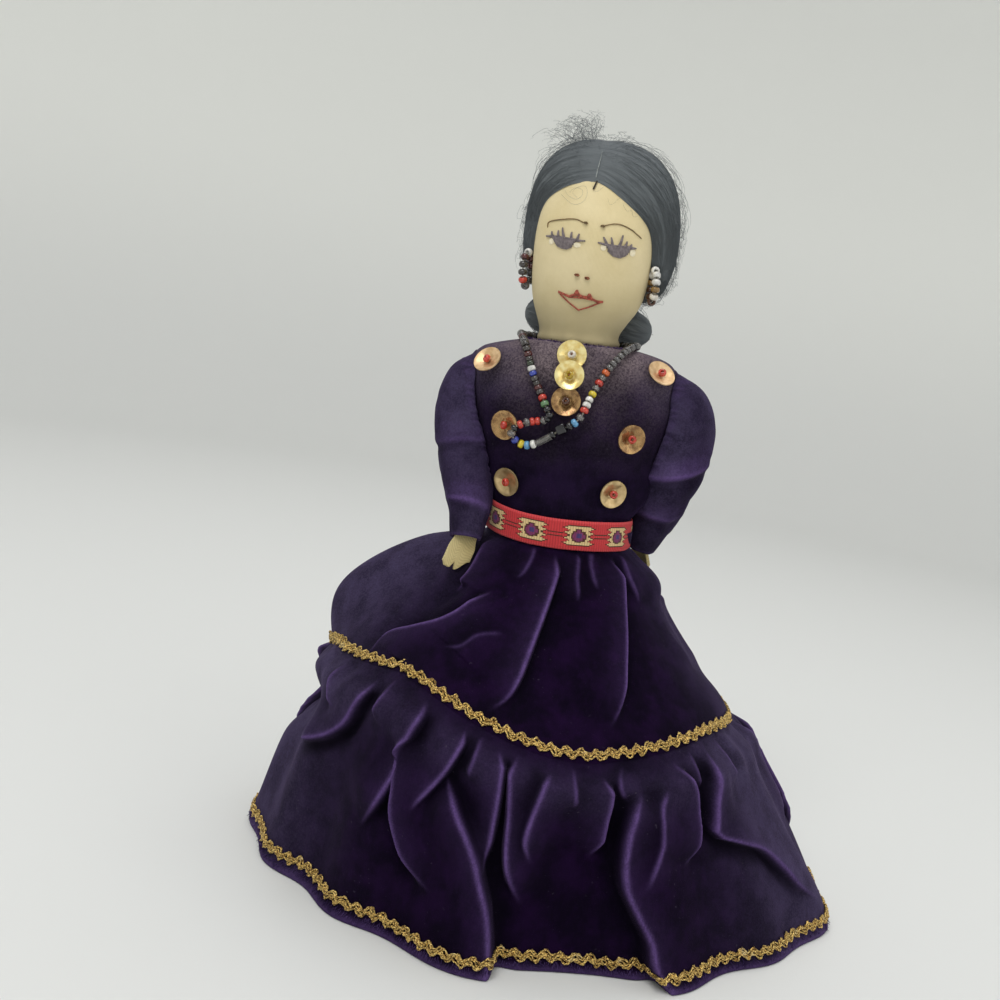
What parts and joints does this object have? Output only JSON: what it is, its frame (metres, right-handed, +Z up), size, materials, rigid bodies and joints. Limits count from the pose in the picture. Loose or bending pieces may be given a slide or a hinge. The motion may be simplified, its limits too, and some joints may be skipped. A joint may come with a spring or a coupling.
{
  "type": "cloth doll",
  "caption": "Stuffed cloth doll in a velvet blouse and tiered skirt with gold braid, woven belt, sequins and bead jewellery; its head turns and its arms and legs swing.",
  "frame": {"origin": "on the table, at the centre of the footprint of the skirt's hem", "axes": "+Z up, the face looks along -Y, +X towards the doll's left hand"},
  "size_m": [0.215, 0.1716, 0.2601],
  "materials": {
    "purple_velvet": "deep purple pile velvet",
    "cream_muslin": "plain woven muslin over fibre filling",
    "tan_twill": "tan twill tape",
    "red_ribbon": "red woven ribbon with stepped motifs",
    "black_hair": "combed black fibre",
    "white_yarn": "white yarn and thread",
    "brown_hide": "soft brown hide",
    "gold_braid": "metallic gold braid",
    "gold_foil": "metallised gold sequin",
    "red_glass": "opaque red glass",
    "pearl_glass": "pearl white glass",
    "amber_glass": "yellow glass",
    "brown_glass": "clear brown glass",
    "mixed_glass": "mixed colours of glass"
  },
  "bodies": {
    "dress": {"torso": "cream_muslin", "blouse_body": "purple_velvet", "belt": "red_ribbon", "skirt_upper_tier": "purple_velvet", "skirt_lower_tier": "purple_velvet", "seam_braid": "gold_braid", "hem_braid": "gold_braid", "sequin_collar_upper": "gold_foil", "sequin_collar_middle": "gold_foil", "sequin_collar_lower": "gold_foil", "sequin_shoulder_right": "gold_foil", "sequin_shoulder_left": "gold_foil", "sequin_chest_right": "gold_foil", "sequin_chest_left": "gold_foil", "sequin_waist_right": "gold_foil", "sequin_waist_left": "gold_foil", "bead_collar_upper": "pearl_glass", "bead_collar_middle": "amber_glass", "bead_collar_lower": "brown_glass", "bead_shoulder_right": "red_glass", "bead_shoulder_left": "red_glass", "bead_chest_right": "red_glass", "bead_chest_left": "red_glass", "bead_waist_right": "red_glass", "bead_waist_left": "red_glass", "necklace": "mixed_glass"},
    "head": {"head": "cream_muslin", "hair_left": "black_hair", "hair_right": "black_hair", "bun": "black_hair", "bun_tie": "white_yarn", "parting_stitch": "white_yarn"},
    "earring_left": {"earring_left": "mixed_glass"},
    "earring_right": {"earring_right": "mixed_glass"},
    "arm_left": {"sleeve_left": "purple_velvet", "arm_core_left": "cream_muslin", "hand_left": "tan_twill"},
    "arm_right": {"sleeve_right": "purple_velvet", "arm_core_right": "cream_muslin", "hand_right": "tan_twill"},
    "leg_left": {"leg_left": "cream_muslin", "shoe_left": "brown_hide"},
    "leg_right": {"leg_right": "cream_muslin", "shoe_right": "brown_hide"}
  },
  "joints": [
    {"name": "head_turn", "type": "hinge", "parent": "dress", "child": "head", "pos_m": [-0.0158, 0.00616, 0.19037], "axis": [-0.0611, 0, 0.9981], "range_deg": [-25, 25], "stiffness_Nm_per_rad": 0.01},
    {"name": "earring_left_swing", "type": "hinge", "parent": "head", "child": "earring_left", "pos_m": [0.00444, 0.00154, 0.21921], "axis": [0.9907, -0.1219, 0.0606], "range_deg": [-25, 25]},
    {"name": "earring_right_swing", "type": "hinge", "parent": "head", "child": "earring_right", "pos_m": [-0.03978, 0.0068, 0.21651], "axis": [0.9907, -0.1219, 0.0606], "range_deg": [-25, 25]},
    {"name": "shoulder_left", "type": "hinge", "parent": "dress", "child": "arm_left", "pos_m": [0.02059, 0.00616, 0.18508], "axis": [0, -1, 0], "range_deg": [0, 65]},
    {"name": "shoulder_right", "type": "hinge", "parent": "dress", "child": "arm_right", "pos_m": [-0.05427, 0.00616, 0.1805], "axis": [0, 1, 0], "range_deg": [0, 65]},
    {"name": "hip_left", "type": "hinge", "parent": "dress", "child": "leg_left", "pos_m": [-0.00007, 0.00616, 0.10517], "axis": [-1, 0, 0], "range_deg": [-15, 25]},
    {"name": "hip_right", "type": "hinge", "parent": "dress", "child": "leg_right", "pos_m": [-0.02402, 0.00616, 0.10371], "axis": [-1, 0, 0], "range_deg": [-15, 25]}
  ]
}
